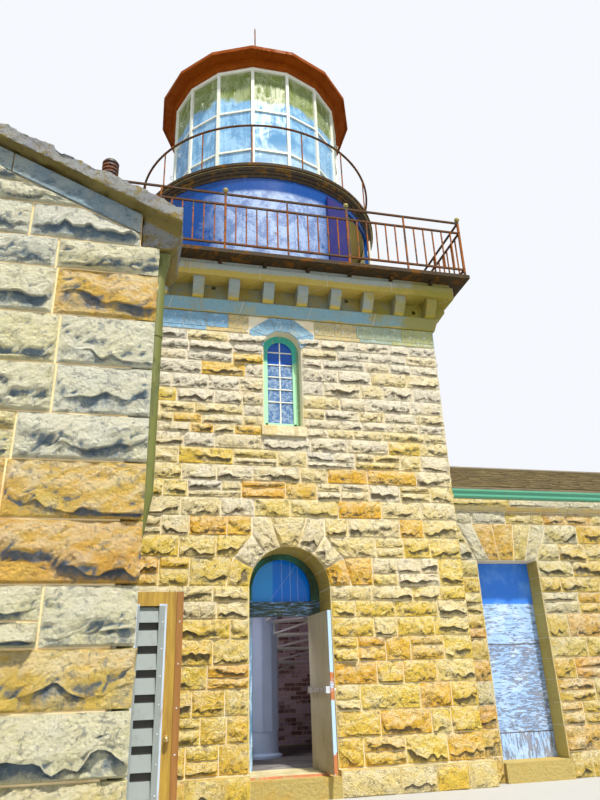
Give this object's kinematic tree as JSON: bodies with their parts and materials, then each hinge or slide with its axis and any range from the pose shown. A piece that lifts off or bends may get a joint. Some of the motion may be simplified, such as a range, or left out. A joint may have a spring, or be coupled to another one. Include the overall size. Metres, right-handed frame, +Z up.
{
  "type": "stone lighthouse",
  "caption": "Square rock-faced stone tower with an iron watch room and glazed lantern, railed galleries and low gabled wings; the tower door and a louvred door swing.",
  "frame": {"origin": "on the ground under the centre of the square tower", "axes": "+Z up, -Y the side of the tower's door, +X to the right of somebody who looks at it"},
  "size_m": [15.385, 11.215, 16.6],
  "materials": {
    "sandstone": "rock-faced, weathered",
    "dressed_stone": "smooth dressed, weathered",
    "floor_stone": "worn",
    "rusty_iron": "rusted",
    "navy_iron": "gloss paint, chalked",
    "brown_iron": "dark, rust-stained",
    "lantern_paint": "old cream paint",
    "lantern_glass": "grimy",
    "roof_iron": "red-brown, rusted",
    "window_green": "green paint, weathered",
    "window_glass": "clear",
    "door_green": "green and white paint, peeling",
    "door_grey": "grey paint, rusty edges",
    "lock_metal": "stained",
    "white_iron": "white paint",
    "white_board": "white paint",
    "shingles": "weathered",
    "gutter_green": "green paint",
    "downspout_olive": "olive paint, faded",
    "blue_board": "pale blue paint, peeling",
    "varnished_timber": "weathered varnish",
    "brass": "tarnished",
    "vent_metal": "rusted"
  },
  "bodies": {
    "building": {"floors": "floor_stone", "plinth": "sandstone", "tower_front_piers": "sandstone", "tower_front_over_door": "sandstone", "tower_side_walls": "sandstone", "tower_back_wall": "sandstone", "window_frames": "window_green", "window_glass": "window_glass", "window_sills": "dressed_stone", "door_step": "dressed_stone", "door_frame": "door_green", "fanlight_glass": "window_glass", "stair_column": "white_board", "stair_treads": "white_iron", "string_course": "dressed_stone", "frieze": "dressed_stone", "modillions": "dressed_stone", "cornice": "dressed_stone", "gallery_deck": "brown_iron", "deck_brackets": "brown_iron", "gallery_railing_front": "rusty_iron", "gallery_railing_right": "rusty_iron", "gallery_railing_back": "rusty_iron", "gallery_railing_left": "rusty_iron", "lantern_railing": "rusty_iron", "watch_room_wall": "navy_iron", "watch_room_doors": "navy_iron", "watch_room_cornice": "brown_iron", "lantern_gallery_deck": "brown_iron", "lantern_curb": "lantern_paint", "lantern_frame": "lantern_paint", "lantern_glass": "lantern_glass", "lantern_eave": "roof_iron", "lantern_roof": "roof_iron", "roof_vent": "roof_iron", "lightning_rod": "rusty_iron", "right_wing_front_wall": "sandstone", "right_wing_lintel": "sandstone", "right_wing_back_wall": "sandstone", "right_wing_end_wall": "sandstone", "right_wing_roof": "shingles", "boarded_doorway": "blue_board", "boarded_doorway_sill": "dressed_stone", "left_wing_gable_walls": "sandstone", "left_wing_side_walls": "sandstone", "left_wing_lintel": "sandstone", "left_wing_roof": "shingles", "wing_copings": "dressed_stone", "eaves_courses": "sandstone", "gutters": "gutter_green", "downspout": "downspout_olive", "vent_pipe": "vent_metal", "louvre_door_frame": "varnished_timber", "louvre_door_step": "dressed_stone"},
    "tower_door": {"tower_door": "door_grey", "tower_door_latch": "lock_metal"},
    "louvre_door": {"louvre_door": "varnished_timber", "louvre_door_knob": "brass"}
  },
  "joints": [
    {"name": "tower_door_hinge", "type": "hinge", "parent": "building", "child": "tower_door", "pos_m": [0.427, -1.959, 0], "axis": [0, 0, -1], "range_deg": [0, 94]},
    {"name": "louvre_door_hinge", "type": "hinge", "parent": "building", "child": "louvre_door", "pos_m": [-2.091, -3.707, 0], "axis": [0, 0, 1], "range_deg": [0, 90]}
  ]
}
